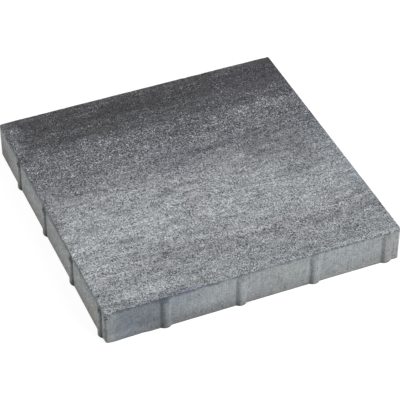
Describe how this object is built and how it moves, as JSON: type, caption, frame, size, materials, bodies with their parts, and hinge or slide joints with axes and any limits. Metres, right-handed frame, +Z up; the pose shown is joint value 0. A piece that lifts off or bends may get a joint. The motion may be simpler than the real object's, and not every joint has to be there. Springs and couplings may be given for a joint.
{
  "type": "concrete paving slab",
  "caption": "Square pressed-concrete paving slab with a speckled grey walking face and half-round spacer nibs along its sides that keep the joint to its neighbours.",
  "frame": {"origin": "middle of the bed face, which lies on the ground", "axes": "+Z up to the walking face; -Y is the front side, whose first nib is close to its right-hand corner"},
  "size_m": [0.403, 0.403, 0.05],
  "materials": {
    "concrete": "pressed concrete, fine sandy grain on the walking face, cloudy light to anthracite grey"
  },
  "bodies": {
    "root": {"paving_slab": "concrete"}
  },
  "joints": []
}
